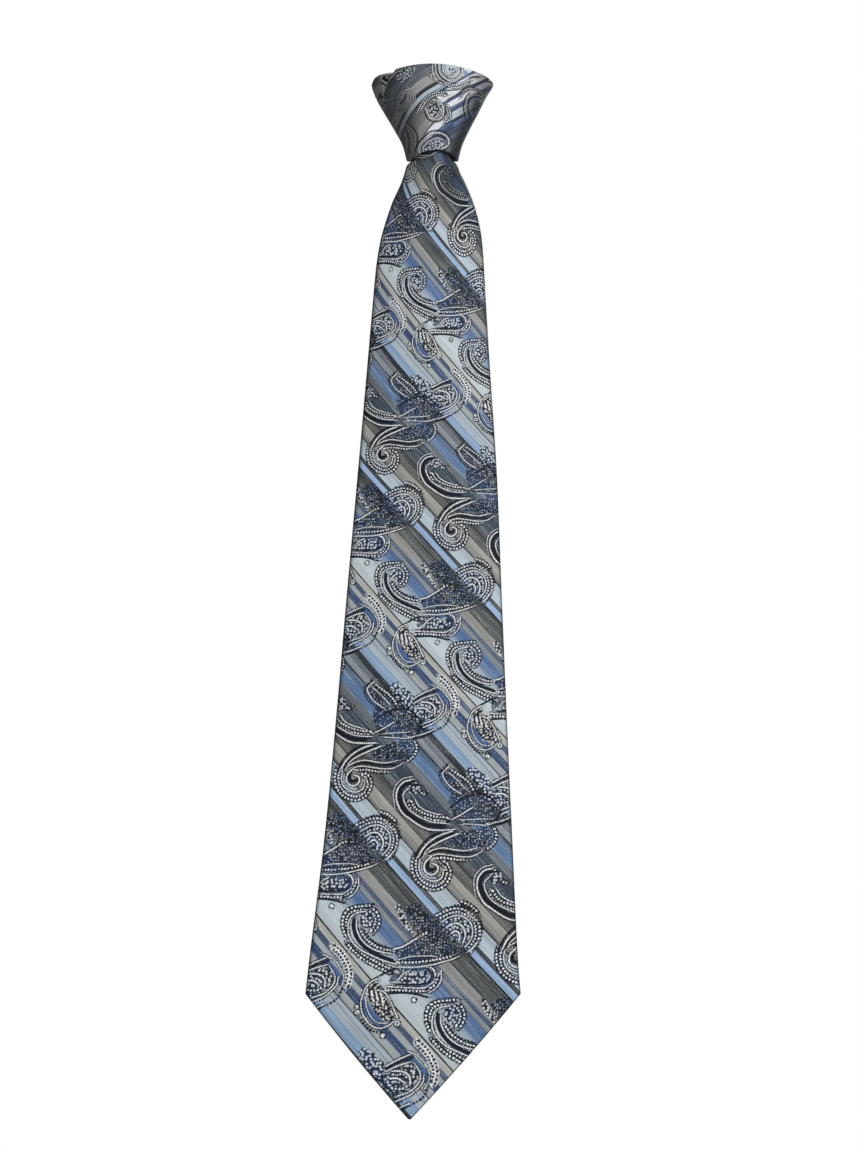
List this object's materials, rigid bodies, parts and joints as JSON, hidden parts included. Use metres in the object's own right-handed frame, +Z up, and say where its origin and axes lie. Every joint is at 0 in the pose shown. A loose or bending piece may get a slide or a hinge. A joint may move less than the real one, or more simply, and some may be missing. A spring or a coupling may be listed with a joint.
{
  "type": "clip-on necktie",
  "caption": "Ready-tied clip-on necktie: a figured silk blade folded to a point hangs from a wound knot with a sprung steel collar clip behind it.",
  "frame": {"origin": "middle of the shirt collar's top edge, under the bridge of the collar clip; the tie hangs from there", "axes": "+Z up, from the blade's point towards the knot; the patterned front faces -Y; +X is to the right seen from the front"},
  "size_m": [0.0953, 0.0331, 0.4665],
  "materials": {
    "silk": "figured silk satin, printed stripes and paisley in blues, greys and taupe",
    "steel": "nickel-plated spring steel"
  },
  "bodies": {
    "root": {"blade": "silk", "knot_front_band": "silk", "knot_under_wrap": "silk", "collar_clip": "steel"}
  },
  "joints": []
}
